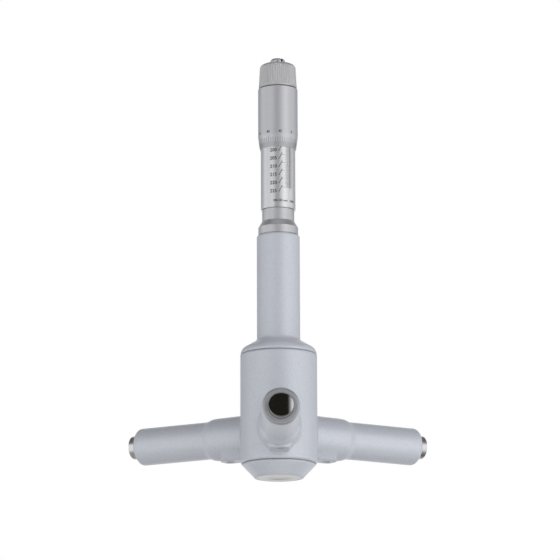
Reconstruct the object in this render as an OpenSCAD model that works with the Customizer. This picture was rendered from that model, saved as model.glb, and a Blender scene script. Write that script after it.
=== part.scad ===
// Three-point inside micrometer for bores of 200 to 225 mm, standing on the flat of its bottom cap.
// Millimetres. Z is the axis of the instrument, Z = 0 its bottom face, and the front arm points to -Y.
// It is drawn with the thimble screwed back, at the low end of the scale.

/* [Measuring range] */
// Diameter between the three contacts at the low end of the scale
measure_d = 200; // [190:1:215]
// Growth of that diameter over the whole scale
measure_range = 25; // [20:1:25]
// Radial travel of a contact for each millimetre of screw travel
cone_slope = 0.5; // [0.5:0.01:0.6]

/* [Bottom cap] */
// Height of the cap up to its joint with the head
cap_h = 7.9; // [7:0.1:10]
// Diameter of the cap at that joint
cap_d = 43.6; // [42:0.1:44]
// Diameter of the flat that it stands on
foot_d = 28.6; // [24:0.1:34]
// Diameter of the shallow recess in that flat
foot_recess_d = 18; // [10:0.1:20]
// Depth of that recess
foot_recess_h = 0.6; // [0.3:0.1:1]
// Thickness of the floor above the recess
cap_floor_t = 2; // [1.5:0.1:3]
// Height of the spigot that locates the cap in the head
cap_spigot_h = 4.8; // [3:0.1:6]
// Wall of that spigot
cap_spigot_t = 4; // [2:0.1:6]

/* [Head] */
// Outer diameter of the head
head_d = 45.3; // [44:0.1:56]
// Height of the head between its two joint lines
head_h = 65.4; // [62:0.1:85]
// Bore that the measuring cone slides in
head_bore_d = 38.6; // [36:0.1:40]
// Height of the arm axes above the bottom face
arm_axis_h = 26; // [24:0.1:30]
// Height of the shadow groove at each joint line
groove_h = 0.45; // [0.2:0.05:0.8]
// Depth of that groove
groove_depth = 0.6; // [0.3:0.1:1]

/* [Arm bosses] */
// Diameter of a boss at its root
boss_d = 25.9; // [25:0.1:30]
// Diameter where the rounded end begins
boss_mid_d = 25.2; // [24.5:0.1:29]
// Diameter at the outer end
boss_end_d = 22.8; // [22.4:0.1:24]
// Distance from the main axis to the outer end
boss_reach = 45.3; // [45:0.1:54]
// Length of the rounded end
boss_crown_l = 5; // [4:0.1:7]
// Depth of the pad under the boss, below the arm axis
pad_drop = 13.9; // [13.5:0.05:16]
// Width of the flat of the pad
pad_w = 10.7; // [10:0.1:12]
// Distance from the main axis to the rounded end of the pad
pad_reach = 38; // [37:0.1:40]
// Distance from the main axis to the guide screw in the pad
guide_screw_r = 32.5; // [31.5:0.1:36]

/* [Arms] */
// Outer diameter of an arm
arm_d = 22.2; // [21:0.1:22.6]
// Radius of the rounded outer end
arm_end_round = 2.2; // [1:0.1:4]
// Bore that holds the return spring
arm_bore_d = 17.2; // [17:0.1:18]
// Length of the narrower guide land at the outer end
arm_land_l = 11.3; // [8:0.1:16]
// Diameter of the spigot that enters the boss
arm_spigot_d = 20; // [19:0.1:21]
// Length of that spigot
arm_spigot_l = 17.2; // [15:0.1:18]

/* [Contacts] */
// Diameter of the measuring end
anvil_d = 14; // [12:0.1:14.2]
// Length of the measuring end
anvil_l = 34; // [30:0.5:40]
// How far it stands out of the arm at the low end of the scale
stand_out = 5.6; // [3:0.1:8]
// Radius of the upright crown on the contact face
tip_crown_r = 40; // [20:1:90]
// Bevel round the contact face
tip_bevel = 0.6; // [0.3:0.1:1.2]
// Diameter of the tail that follows the cone
tail_d = 10; // [9:0.1:10.4]
// Diameter of the collar that the return spring pushes on
spring_collar_d = 16; // [15:0.1:16.2]
// Thickness of that collar
spring_collar_t = 2.5; // [1.5:0.1:4]
// Distance from the guide screw to that collar
spring_collar_gap = 7.5; // [5:0.1:10]
// Distance from the main axis to the tail's face at the height of the arm axis
tail_face_r = 4.5; // [4.3:0.05:5]
// Diameter of the guide screw
guide_screw_d = 5; // [4:0.1:6]
// Diameter of the dog point that runs in the keyway
dog_d = 3; // [2:0.1:3.6]
// Depth of the keyway in the tail
keyway_h = 2; // [1.5:0.1:2.5]

/* [Springs] */
// Wire of the three return springs
anvil_wire_d = 0.9; // [0.7:0.1:1]
// Turns of each return spring
anvil_turns = 9; // [6:1:12]
// Wire of the push rod spring
rod_wire_d = 1.2; // [0.8:0.1:1.4]
// Mean diameter of the push rod spring
rod_coil_d = 12.4; // [11.5:0.1:13.5]
// Turns of the push rod spring
rod_turns = 8; // [5:1:9]
// Wire of the ratchet spring
ratchet_wire_d = 0.9; // [0.6:0.1:1]
// Mean diameter of the ratchet spring
ratchet_coil_d = 12.4; // [11.5:0.1:13]
// Turns of the ratchet spring
ratchet_turns = 3; // [2:1:4]

/* [Handle tube] */
// Diameter of the bell at its joint with the head
bell_d = 44.9; // [43:0.1:45]
// Height at which the straight rim of the bell would meet its slope
bell_rim_h = 2.9; // [2.8:0.1:5]
// Height at which that slope would meet the tube
bell_h = 8.5; // [8:0.1:12]
// Radius of the bell's rounded shoulder
bell_round = 4.8; // [3:0.1:5]
// Radius of the fillet between bell and tube
bell_fillet = 2.5; // [1:0.1:5]
// Outer diameter of the tube
tube_d = 25.55; // [24:0.05:28]
// Bore of the tube
tube_bore_d = 17.2; // [16.5:0.1:18]
// Height of the whole handle above the head
handle_h = 71.8; // [70:0.1:90]
// Rounded edge at the top of the tube
tube_edge_round = 0.9; // [0.3:0.1:1]
// Height of the spigot that locates the bell in the head
bell_spigot_h = 6.3; // [4:0.1:8]
// Height of the floor of the tube above the head
tube_floor_h = 12.7; // [11:0.1:15]

/* [Cone and push rod] */
// Room left under the cone at the end of its travel
cone_room = 0.9; // [0.5:0.1:2]
// Diameter of the push rod
rod_d = 8; // [7:0.1:9]
// Diameter of its threaded end in the cone
rod_stud_d = 6; // [4:0.1:6.4]
// Length of that end
rod_stud_l = 12; // [8:0.5:16]
// Diameter of the collar that its spring pushes up
rod_collar_d = 15.4; // [14.4:0.1:16]
// Thickness of that collar
rod_collar_t = 3; // [2:0.1:4]
// Diameter of the thrust ball on the rod
ball_d = 5; // [4:0.1:5.6]
// Depth of the cup that the ball sits in
ball_cup_h = 1.5; // [1:0.1:2]
// Outer diameter of the guide bush
bush_d = 13; // [11:0.1:14]
// Length of the guide bush below its flange
bush_l = 12; // [8:0.1:15]
// Diameter of the flange of the bush
bush_flange_d = 16; // [15:0.1:16.4]
// Thickness of that flange
bush_flange_t = 2; // [1:0.1:3]

/* [Stem] */
// Diameter of the collar on top of the handle
collar_d = 23.7; // [21:0.1:23.7]
// Height of that collar
collar_h = 4.9; // [4:0.1:7]
// Height of the taper above the collar
taper_h = 3.8; // [3:0.1:7]
// Diameter of the neck
neck_d = 19.1; // [18.8:0.05:20.4]
// Height of the neck
neck_h = 7.1; // [4:0.1:9]
// Length of the spigot that fits the tube
stem_spigot_h = 14; // [10:0.1:16]
// Bore of the stem below its thread
stem_bore_d = 9.2; // [8.8:0.1:10]
// Length of the threaded bore at the top
thread_l = 20; // [14:0.5:24]
// Diameter of the thread for the adjusting nut
nut_thread_d = 14; // [12:0.1:15]
// Height of the adjusting nut
nut_h = 7; // [5:0.1:8]
// Width of the slits that let the nut close the thread
slit_w = 0.8; // [0.5:0.1:1.2]
// Depth of those slits
slit_h = 12; // [8:0.5:16]

/* [Sleeve] */
// Outer diameter of the graduated sleeve
sleeve_d = 20.6; // [20:0.1:20.8]
// Wall of the sleeve
sleeve_t = 1.5; // [1:0.1:1.8]
// Sleeve left in view below the thimble at the high end of the scale
sleeve_foot = 12; // [9:0.1:16]
// Sleeve covered by the thimble at the low end of the scale
sleeve_cover = 2; // [1:0.1:3]
// Direction of the datum line, degrees from +X
datum_angle = -48.3; // [-90:0.1:0]
// Hole for the adjusting spanner, opposite the datum line
spanner_hole_d = 1.8; // [1:0.1:2.5]

/* [Thimble and spindle] */
// Outer diameter of the thimble
thimble_d = 23.7; // [23.5:0.1:26]
// Height of the thimble
thimble_h = 37.5; // [36:0.1:50]
// Diameter at its graduated lower edge
thimble_edge_d = 21.5; // [21.3:0.1:22.5]
// Height of the bevel that carries the graduations
bevel_h = 7.6; // [5:0.1:10]
// Thickness of the top of the thimble
thimble_top_t = 4.4; // [3:0.1:6]
// Chamfer round the top of the thimble
thimble_chamfer = 0.6; // [0.2:0.1:0.8]
// Diameter of the spindle
spindle_d = 8; // [7:0.1:8.6]
// How far the spindle narrows in its tapered seat
spindle_taper = 1.6; // [0.8:0.1:2]
// Diameter of the threaded end above the thimble
stud_d = 5; // [4:0.1:5.4]
// Length of that end
stud_l = 4.6; // [4:0.1:5]
// Depth of the spindle's tip below the top of the handle
spindle_tip_drop = 7.6; // [5:0.1:9]

/* [Ratchet] */
// Gap between the thimble and the ratchet cap
ratchet_gap = 0.3; // [0.2:0.1:1]
// Diameter of the cap at its lower edge
cap_low_d = 22.9; // [22.6:0.1:25]
// Diameter of the cap where its rounded top begins
cap_top_d = 21.5; // [21:0.1:22.5]
// Height of the cap
ratchet_h = 14.8; // [14.4:0.1:18]
// Radius of its rounded top edge
cap_round = 2.5; // [2:0.1:4]
// Number of grip flutes
flute_count = 50; // [36:1:60]
// Depth of a flute
flute_depth = 0.25; // [0.15:0.05:0.4]
// Angle between the two walls of a flute
flute_angle = 130; // [100:5:140]
// Height of the plain rim below the flutes
flute_rim_h = 1.2; // [0.5:0.1:2]
// Thickness of the top of the cap
cap_top_t = 3; // [2:0.1:4]
// Bore of the cap
cap_bore_d = 17.8; // [17.4:0.1:18.2]
// Diameter of the two toothed crowns
crown_d = 17.2; // [16.4:0.1:17.2]
// Thickness of a crown without its teeth
crown_t = 2.4; // [1.8:0.1:3]
// Teeth on each crown
crown_teeth = 12; // [8:1:18]
// Height of a tooth at the rim
tooth_h = 1.2; // [0.8:0.1:1.6]
// Diameter of the column inside the upper crown
column_d = 8.6; // [7.5:0.1:9]
// Width of the three ribs that turn the upper crown
rib_w = 2; // [1:0.1:3]
// How far those ribs stand in
rib_t = 0.9; // [0.5:0.1:1.2]
// Diameter of the head of the top screw
screw_head_d = 8.9; // [7:0.1:10]
// Height of that head
screw_head_h = 3.6; // [2.5:0.1:4]
// Rounded edge of that head
screw_edge_round = 1.7; // [0.3:0.1:2.2]
// Diameter of the screw's shoulder
shoulder_d = 5; // [4:0.1:5.6]
// Diameter of the screw's thread
screw_d = 4; // [3:0.1:4.2]
// Length of that thread
screw_l = 4.5; // [3:0.1:5]
// Width of a screwdriver slot
slot_w = 1.2; // [0.6:0.1:1.4]
// Depth of a screwdriver slot
slot_h = 1.4; // [0.8:0.1:2]
// Depth of the slot in the top screw
top_slot_h = 2.4; // [1:0.1:2.4]
// Direction of the slot in the top screw, degrees from +X
slot_angle = -57; // [-180:1:180]

/* [Clearances] */
// Radial room of a sliding or turning fit
slide_fit = 0.05; // [0.02:0.01:0.09]
// Radial room of a fixed seat
seat_fit = 0.03; // [0.01:0.01:0.05]
// Room between the cone and each tail
contact_gap = 0.05; // [0.02:0.01:0.1]
// Radial room between the sleeve and the thimble
thimble_room = 0.12; // [0.08:0.01:0.2]
// Room at the ends of a travel and between parts that pass each other
end_room = 0.5; // [0.3:0.1:1]
// Room between the resting teeth of the two crowns
tooth_room = 0.15; // [0.1:0.05:0.3]
// Room under the head of the top screw
screw_room = 0.15; // [0.1:0.05:0.3]
// Room round the upper crown, on its column and at its ribs
crown_room = 0.15; // [0.1:0.05:0.3]

/* [Hidden] */
$fn = 96;

// Directions of the arms, degrees from +X
front = -90;
arm_spread = 120;
right = front + arm_spread;
left = front - arm_spread;
arm_angles = [front, right, left];

paint = "#B5B8BF";
chrome = "#B2B4BA";
steel = "#8E9196";
spring_steel = "#6F7276";
bronze = "#B08D57";

// A cut runs past the face it opens by this much
over = 1;

// Heights along the main axis
head_z0 = cap_h;
head_z1 = head_z0 + head_h;
handle_z1 = head_z1 + handle_h;
collar_z1 = handle_z1 + collar_h;
taper_z1 = collar_z1 + taper_h;
neck_z1 = taper_z1 + neck_h;
anvil_travel = measure_range / 2;
screw_travel = anvil_travel / cone_slope;
thimble_z0 = neck_z1 + sleeve_foot + screw_travel;
sleeve_z1 = thimble_z0 + sleeve_cover;
thimble_z1 = thimble_z0 + thimble_h;
thimble_ceiling = thimble_z1 - thimble_top_t;
stem_z1 = thimble_ceiling - screw_travel - end_room;
nut_z0 = stem_z1 - nut_h;
spindle_tip_z = handle_z1 - spindle_tip_drop;

// Cone: its slope meets the tails at the arm axes
cone_angle = atan(cone_slope);
cone_land_r = head_bore_d / 2 - slide_fit;
cap_floor_z = foot_recess_h + cap_floor_t;
cone_z0 = max(arm_axis_h - tail_d / 4, cap_floor_z + cone_room + screw_travel);
cone_tip_r = tail_face_r + cone_slope * (cone_z0 - arm_axis_h);
cone_shoulder_z = cone_z0 + (cone_land_r - cone_tip_r) / cone_slope;
cone_z1 = head_z1 - bell_spigot_h - end_room;

// Push rod and its ball, under the tip of the spindle
ball_z = spindle_tip_z - contact_gap - ball_d / 2;
rod_z1 = ball_z - ball_d / 2 + ball_cup_h;
rod_collar_z1 = handle_z1 - stem_spigot_h - end_room;
rod_collar_z0 = rod_collar_z1 - rod_collar_t;
tube_floor_z = head_z1 + tube_floor_h;
rod_spring_z0 = tube_floor_z + bush_flange_t;

// Distances along an arm, from the main axis
tip_r = measure_d / 2;
arm_reach = tip_r - stand_out;
land_r0 = arm_reach - arm_land_l;
spigot_r0 = boss_reach - arm_spigot_l;
socket_r0 = spigot_r0 - end_room;
anvil_r0 = tip_r - anvil_l;
spring_collar_r0 = guide_screw_r + spring_collar_gap;
anvil_spring_r0 = spring_collar_r0 + spring_collar_t;
keyway_r0 = guide_screw_r - anvil_travel - dog_d / 2 - end_room;
keyway_r1 = guide_screw_r + dog_d / 2 + end_room;
anvil_coil_d = (arm_bore_d + anvil_d) / 2;

// Ratchet stack above the thimble
cap_z0 = thimble_z1 + ratchet_gap;
cap_z1 = cap_z0 + ratchet_h;
cap_ceiling = cap_z1 - cap_top_t;
drive_z1 = thimble_z1 + crown_t + tooth_h;
crown_z0 = drive_z1 + tooth_room;
crown_z1 = crown_z0 + tooth_h + crown_t;
column_z1 = cap_ceiling - end_room;

// Carries a piece drawn along +X to the arm at an angle
module at_arm(angle) {
    rotate([0, 0, angle])
        translate([0, 0, arm_axis_h])
            children();
}

// Turns a profile whose height is the distance along the arm
module turned_along_arm() {
    rotate([0, 90, 0])
        rotate_extrude()
            children();
}

// Turned band between two radii and two heights, as a profile
module band(r0, r1, z0, z1) {
    translate([r0, z0])
        square([r1 - r0, z1 - z0]);
}

// What a round of radius r leaves of a square upper edge, as a profile to cut away
module edge_round(edge_r, edge_z, r) {
    translate([edge_r - r, edge_z - r])
        difference() {
            square(r + over);
            circle(r);
        }
}

// Coil spring round Z with nearly closed end turns, standing between two heights
module coil_spring(coil_d, wire_d, turns, z0, z1) {
    sides = 6;
    steps = 12;
    end_pitch = 1.2 * wire_d;
    rings = turns * steps;
    rise = z1 - z0 - wire_d;
    mid_pitch = (rise - 2 * end_pitch) / (turns - 2);
    function height(s) =
        s < 1 ? s * end_pitch
        : s > turns - 1 ? rise - (turns - s) * end_pitch
        : end_pitch + (s - 1) * mid_pitch;
    function place(k, j) =
        let (
            turn = 360 * k / steps,
            round_wire = 360 * j / sides,
            r = coil_d / 2 + wire_d / 2 * cos(round_wire)
        )
        [r * cos(turn), r * sin(turn), z0 + wire_d / 2 * (1 + sin(round_wire)) + height(k / steps)];
    function index(k, j) = k * sides + j % sides;
    points = [for (k = [0 : rings], j = [0 : sides - 1]) place(k, j)];
    walls = [
        for (k = [0 : rings - 1], j = [0 : sides - 1], half = [0, 1])
            half == 0
                ? [index(k, j), index(k, j + 1), index(k + 1, j + 1)]
                : [index(k, j), index(k + 1, j + 1), index(k + 1, j)]
    ];
    first_end = [for (j = [sides - 1 : -1 : 0]) index(0, j)];
    last_end = [for (j = [0 : sides - 1]) index(rings, j)];
    polyhedron(points, concat(walls, [first_end, last_end]));
}

// Wedges that leave saw teeth, dropping from a crest at Z = 0 to the tooth height at the rim
module tooth_cuts() {
    step = 360 / crown_teeth;
    reach = crown_d / 2 / cos(step / 2) + over;
    drop = tooth_h * reach / (crown_d / 2);
    for (i = [0 : crown_teeth - 1])
        rotate([0, 0, i * step])
            polyhedron(
                [[0, 0, 0], [reach, 0, 0], [reach * cos(step), reach * sin(step), 0], [reach, 0, -drop]],
                [[0, 2, 1], [0, 1, 3], [1, 2, 3], [0, 3, 2]]
            );
}

// Bottom cap: a cone with a flat foot, hollow so that the cone can come down into it
module bottom_cap() {
    spigot_r = head_bore_d / 2 - seat_fit;
    spigot_z1 = cap_h + cap_spigot_h;
    color(paint)
        rotate_extrude()
            difference() {
                polygon([
                    [0, 0], [foot_d / 2, 0], [cap_d / 2, cap_h],
                    [spigot_r, cap_h], [spigot_r, spigot_z1], [0, spigot_z1]
                ]);
                band(0, foot_recess_d / 2, -over, foot_recess_h);
                band(0, spigot_r - cap_spigot_t, cap_floor_z, spigot_z1 + over);
            }
}

// Boss that holds an arm, with a slight draft and a rounded end
module boss() {
    crown_r0 = boss_reach - boss_crown_l;
    crown_drop = (boss_mid_d - boss_end_d) / 2;
    crown_arc = (boss_crown_l * boss_crown_l + crown_drop * crown_drop) / (2 * crown_drop);
    turned_along_arm() {
        polygon([[0, 0], [boss_d / 2, head_bore_d / 2], [boss_mid_d / 2, crown_r0], [0, crown_r0]]);
        intersection() {
            translate([boss_mid_d / 2 - crown_arc, crown_r0])
                circle(crown_arc);
            band(0, boss_mid_d / 2, crown_r0, boss_reach);
        }
    }
}

// Flat pad under a boss, for the guide screw, with flanks that run into the round of the boss
module pad() {
    half_w = pad_w / 2;
    boss_r = boss_mid_d / 2;
    meet = atan(half_w / pad_drop) + acos(boss_r / norm([half_w, pad_drop]));
    flank_y = boss_r * sin(meet);
    flank_z = -boss_r * cos(meet);
    intersection() {
        rotate([90, 0, 90])
            linear_extrude(pad_reach + over)
                polygon([
                    [0, 0], [-flank_y, flank_z], [-half_w, -pad_drop], [half_w, -pad_drop], [flank_y, flank_z]
                ]);
        translate([0, 0, -pad_drop - over])
            linear_extrude(pad_drop + 2 * over) {
                translate([0, -flank_y - over])
                    square([pad_reach - flank_y, 2 * flank_y + 2 * over]);
                translate([pad_reach - flank_y, 0])
                    circle(flank_y);
            }
    }
}

// Socket for the arm, guide for the tail and hole for the guide screw
module arm_cuts() {
    turned_along_arm() {
        band(0, tail_d / 2 + slide_fit, 0, socket_r0 + over);
        band(0, arm_spigot_d / 2 + seat_fit, socket_r0, boss_reach + over);
    }
    translate([guide_screw_r, 0, -pad_drop - over])
        cylinder(d = guide_screw_d + 2 * seat_fit, h = pad_drop);
}

// Head: a bored cylinder with three bosses, its lower edge bevelled to the width of the cap
module head_body() {
    r = head_d / 2;
    edge_r = cap_d / 2;
    edge_z = head_z0 + groove_h;
    color(paint)
        difference() {
            union() {
                rotate_extrude()
                    polygon([
                        [0, head_z0], [edge_r - groove_depth, head_z0], [edge_r - groove_depth, edge_z],
                        [edge_r, edge_z], [r, edge_z + r - edge_r], [r, head_z1 - groove_h],
                        [r - groove_depth, head_z1 - groove_h], [r - groove_depth, head_z1], [0, head_z1]
                    ]);
                for (angle = arm_angles)
                    at_arm(angle) {
                        boss();
                        pad();
                    }
            }
            translate([0, 0, head_z0 - over])
                cylinder(d = head_bore_d, h = head_h + 2 * over);
            for (angle = arm_angles)
                at_arm(angle)
                    arm_cuts();
        }
}

// Arm: a tube with a spigot, a spring chamber and a guide land at its rounded end
module arm(angle) {
    color(paint)
        at_arm(angle)
            difference() {
                turned_along_arm()
                    difference() {
                        union() {
                            band(0, arm_spigot_d / 2, spigot_r0, boss_reach + over);
                            band(0, arm_d / 2, boss_reach, arm_reach);
                        }
                        edge_round(arm_d / 2, arm_reach, arm_end_round);
                        band(0, arm_bore_d / 2, spigot_r0 - over, land_r0);
                        band(0, anvil_d / 2 + slide_fit, land_r0 - over, arm_reach + over);
                    }
                translate([guide_screw_r, 0, -arm_d])
                    cylinder(d = guide_screw_d + 2 * seat_fit, h = arm_d);
            }
}

// Guide screw with a dog point that keeps the contact from turning
module guide_screw(angle) {
    screw_z0 = -pad_drop + end_room;
    dog_z0 = -arm_bore_d / 2 - end_room;
    dog_z1 = -tail_d / 2 + keyway_h - end_room;
    color(steel)
        at_arm(angle)
            translate([guide_screw_r, 0, 0])
                difference() {
                    union() {
                        translate([0, 0, screw_z0])
                            cylinder(d = guide_screw_d, h = dog_z0 - screw_z0);
                        translate([0, 0, dog_z0])
                            cylinder(d = dog_d, h = dog_z1 - dog_z0);
                    }
                    translate([-guide_screw_d, -slot_w / 2, screw_z0 - over])
                        cube([2 * guide_screw_d, slot_w, slot_h + over]);
                }
}

// Contact: crowned measuring end, spring collar and a tail whose sloped face follows the cone
module anvil(angle) {
    face_r = tail_face_r + contact_gap / cos(cone_angle);
    color(steel)
        at_arm(angle)
            difference() {
                intersection() {
                    turned_along_arm()
                        difference() {
                            union() {
                                band(0, tail_d / 2, 0, anvil_r0 + over);
                                band(0, spring_collar_d / 2, spring_collar_r0, anvil_spring_r0);
                                band(0, anvil_d / 2, anvil_r0, tip_r);
                            }
                            translate([anvil_d / 2, tip_r])
                                rotate([0, 0, 45])
                                    square(sqrt(2) * tip_bevel, center = true);
                        }
                    translate([0, 0, -anvil_d])
                        linear_extrude(2 * anvil_d) {
                            translate([tip_r - tip_crown_r, 0])
                                circle(tip_crown_r);
                            translate([0, -anvil_d])
                                square([tip_r - tip_crown_r, 2 * anvil_d]);
                        }
                }
                translate([face_r, 0, 0])
                    rotate([0, cone_angle, 0])
                        translate([-2 * tail_d, -tail_d, -2 * tail_d])
                            cube([2 * tail_d, 2 * tail_d, 4 * tail_d]);
                translate([keyway_r0, -dog_d / 2 - slide_fit, -tail_d])
                    cube([keyway_r1 - keyway_r0, dog_d + 2 * slide_fit, tail_d / 2 + keyway_h]);
            }
}

// Spring that pushes a contact back on to the cone
module anvil_spring(angle) {
    color(spring_steel)
        at_arm(angle)
            rotate([0, 90, 0])
                coil_spring(anvil_coil_d, anvil_wire_d, anvil_turns, anvil_spring_r0, land_r0);
}

// Handle: bell-shaped foot and long tube in one piece
module handle_tube() {
    bell_r = bell_d / 2;
    tube_r = tube_d / 2;
    lean = atan((bell_h - bell_rim_h) / (bell_r - tube_r));
    slope = [-cos(lean), sin(lean)];
    half_turn = (90 - lean) / 2;
    round_l = bell_round * tan(half_turn);
    fillet_l = bell_fillet * tan(half_turn);
    rim = [bell_r, head_z1 + bell_rim_h];
    root = [tube_r, head_z1 + bell_h];
    spigot_z0 = head_z1 - bell_spigot_h;
    color(paint)
        rotate_extrude()
            difference() {
                union() {
                    polygon([
                        [0, head_z1], [bell_r, head_z1], rim - [0, round_l], rim + round_l * slope,
                        root - fillet_l * slope, root + [0, fillet_l], [tube_r, handle_z1], [0, handle_z1]
                    ]);
                    intersection() {
                        translate(rim - [bell_round, round_l])
                            circle(bell_round);
                        band(0, bell_r, head_z1, handle_z1);
                    }
                    band(0, head_bore_d / 2 - seat_fit, spigot_z0, head_z1 + over);
                }
                translate(root + [bell_fillet, fillet_l])
                    circle(bell_fillet);
                edge_round(tube_r, handle_z1, tube_edge_round);
                band(0, bush_d / 2 + seat_fit, spigot_z0 - over, tube_floor_z + over);
                band(0, tube_bore_d / 2, tube_floor_z, handle_z1 + over);
            }
}

// Flanged bush that guides the push rod through the bell
module rod_bush() {
    color(bronze)
        rotate_extrude()
            difference() {
                union() {
                    band(0, bush_d / 2, tube_floor_z - bush_l, tube_floor_z + over);
                    band(0, bush_flange_d / 2, tube_floor_z, rod_spring_z0);
                }
                band(0, rod_d / 2 + slide_fit, tube_floor_z - bush_l - over, rod_spring_z0 + over);
            }
}

// Spring that lifts the push rod and the cone against the spindle
module rod_spring() {
    color(spring_steel)
        coil_spring(rod_coil_d, rod_wire_d, rod_turns, rod_spring_z0, rod_collar_z0);
}

// Measuring cone, narrow end down, with a guide land that runs in the head
module measuring_cone() {
    color(steel)
        rotate_extrude()
            difference() {
                polygon([
                    [0, cone_z0], [cone_tip_r, cone_z0], [cone_land_r, cone_shoulder_z],
                    [cone_land_r, cone_z1], [0, cone_z1]
                ]);
                band(0, rod_stud_d / 2 + seat_fit, cone_z1 - rod_stud_l - end_room, cone_z1 + over);
            }
}

// Push rod between the cone and the ball
module push_rod() {
    color(steel)
        rotate_extrude()
            difference() {
                union() {
                    band(0, rod_stud_d / 2, cone_z1 - rod_stud_l, cone_z1 + over);
                    band(0, rod_d / 2, cone_z1, rod_z1);
                    band(0, rod_collar_d / 2, rod_collar_z0, rod_collar_z1);
                }
                band(0, ball_d / 2 + slide_fit, rod_z1 - ball_cup_h, rod_z1 + over);
            }
}

// Ball that lets the spindle turn on the push rod
module thrust_ball() {
    color(chrome)
        translate([0, 0, ball_z])
            sphere(d = ball_d);
}

// Stem: spigot, collar, tapered neck and the slit threaded end under the thimble
module stem() {
    spigot_r = tube_bore_d / 2 - seat_fit;
    spigot_z0 = handle_z1 - stem_spigot_h;
    seat_r = sleeve_d / 2 - sleeve_t - seat_fit;
    thread_z0 = stem_z1 - thread_l;
    collar_r = collar_d / 2;
    neck_r = neck_d / 2;
    color(chrome)
        difference() {
            rotate_extrude()
                difference() {
                    polygon([
                        [0, spigot_z0], [spigot_r, spigot_z0], [spigot_r, handle_z1], [collar_r, handle_z1],
                        [collar_r, collar_z1], [neck_r, taper_z1], [neck_r, neck_z1],
                        [seat_r, neck_z1], [seat_r, nut_z0], [nut_thread_d / 2, nut_z0],
                        [nut_thread_d / 2, stem_z1], [0, stem_z1]
                    ]);
                    band(collar_r - groove_depth, collar_r + over, handle_z1 - over, handle_z1 + groove_h);
                    band(neck_r - groove_depth, neck_r + over, neck_z1 - groove_h, neck_z1 + over);
                    band(0, stem_bore_d / 2, spigot_z0 - over, thread_z0);
                    band(0, spindle_d / 2 + slide_fit, thread_z0 - over, stem_z1 + over);
                }
            for (angle = [0, 90])
                rotate([0, 0, datum_angle + angle])
                    translate([-sleeve_d / 2, -slit_w / 2, stem_z1 - slit_h])
                        cube([sleeve_d, slit_w, slit_h + over]);
        }
}

// Graduated sleeve over the stem
module sleeve() {
    color(chrome)
        difference() {
            rotate_extrude()
                band(sleeve_d / 2 - sleeve_t, sleeve_d / 2, neck_z1, sleeve_z1);
            rotate([0, 0, datum_angle + 180])
                translate([0, 0, neck_z1 + sleeve_foot / 3])
                    rotate([0, 90, 0])
                        cylinder(d = spanner_hole_d, h = sleeve_d);
        }
}

// Nut that closes the slit thread to take up wear
module adjusting_nut() {
    outer_r = sleeve_d / 2 - sleeve_t - 3 * seat_fit;
    color(steel)
        difference() {
            rotate_extrude()
                band(nut_thread_d / 2 + seat_fit, outer_r, nut_z0, stem_z1);
            translate([-sleeve_d / 2, -slot_w / 2, stem_z1 - slot_h])
                cube([sleeve_d, slot_w, slot_h + over]);
        }
}

// Thimble with its graduated bevel
module thimble() {
    bore_r = sleeve_d / 2 + thimble_room;
    seat_r = spindle_d / 2 + seat_fit;
    color(chrome)
        rotate_extrude()
            difference() {
                polygon([
                    [0, thimble_z0], [thimble_edge_d / 2, thimble_z0], [thimble_d / 2, thimble_z0 + bevel_h],
                    [thimble_d / 2, thimble_z1 - thimble_chamfer],
                    [thimble_d / 2 - thimble_chamfer, thimble_z1], [0, thimble_z1]
                ]);
                band(0, bore_r, thimble_z0 - over, thimble_ceiling);
                polygon([
                    [0, thimble_ceiling], [seat_r, thimble_ceiling],
                    [seat_r - spindle_taper, thimble_z1], [0, thimble_z1]
                ]);
            }
}

// Spindle: the screw that the thimble turns, with a tapered seat and a threaded end
module spindle() {
    r = spindle_d / 2;
    color(steel)
        rotate_extrude()
            polygon([
                [0, spindle_tip_z], [r, spindle_tip_z], [r, thimble_ceiling], [r - spindle_taper, thimble_z1],
                [stud_d / 2, thimble_z1], [stud_d / 2, thimble_z1 + stud_l], [0, thimble_z1 + stud_l]
            ]);
}

// Lower ratchet crown, screwed on the spindle, with the column that carries the top screw
module drive_crown() {
    thread_z0 = column_z1 - screw_l - end_room;
    color(steel)
        difference() {
            union() {
                difference() {
                    translate([0, 0, thimble_z1])
                        cylinder(d = crown_d, h = drive_z1 - thimble_z1);
                    translate([0, 0, drive_z1])
                        tooth_cuts();
                }
                translate([0, 0, thimble_z1])
                    cylinder(d = column_d, h = column_z1 - thimble_z1);
            }
            translate([0, 0, thimble_z1 - over])
                cylinder(d = stud_d + 2 * seat_fit, h = stud_l + end_room + over);
            translate([0, 0, thread_z0])
                cylinder(d = screw_d + 2 * seat_fit, h = column_z1 - thread_z0 + over);
        }
}

// Screw on top of the ratchet, with a shoulder that the cap turns on
module ratchet_screw() {
    under_z = cap_z1 + screw_room;
    top_z = under_z + screw_head_h;
    color(steel)
        difference() {
            rotate_extrude()
                difference() {
                    union() {
                        band(0, screw_d / 2, column_z1 - screw_l, column_z1 + over);
                        band(0, shoulder_d / 2, column_z1, under_z + over);
                        band(0, screw_head_d / 2, under_z, top_z);
                    }
                    edge_round(screw_head_d / 2, top_z, screw_edge_round);
                }
            rotate([0, 0, slot_angle])
                translate([-screw_head_d, -slot_w / 2, top_z - top_slot_h])
                    cube([2 * screw_head_d, slot_w, top_slot_h + over]);
        }
}

// Straight V flutes that follow the taper of the ratchet cap
module flute_cuts() {
    lean = atan((cap_low_d - cap_top_d) / 2 / (ratchet_h - cap_round));
    half_w = (flute_depth + over) * tan(flute_angle / 2);
    for (i = [0 : flute_count - 1])
        rotate([0, 0, i * 360 / flute_count])
            translate([cap_low_d / 2, 0, cap_z0])
                rotate([0, -lean, 0])
                    translate([0, 0, flute_rim_h])
                        linear_extrude(ratchet_h)
                            polygon([[-flute_depth, 0], [over, -half_w], [over, half_w]]);
}

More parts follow.
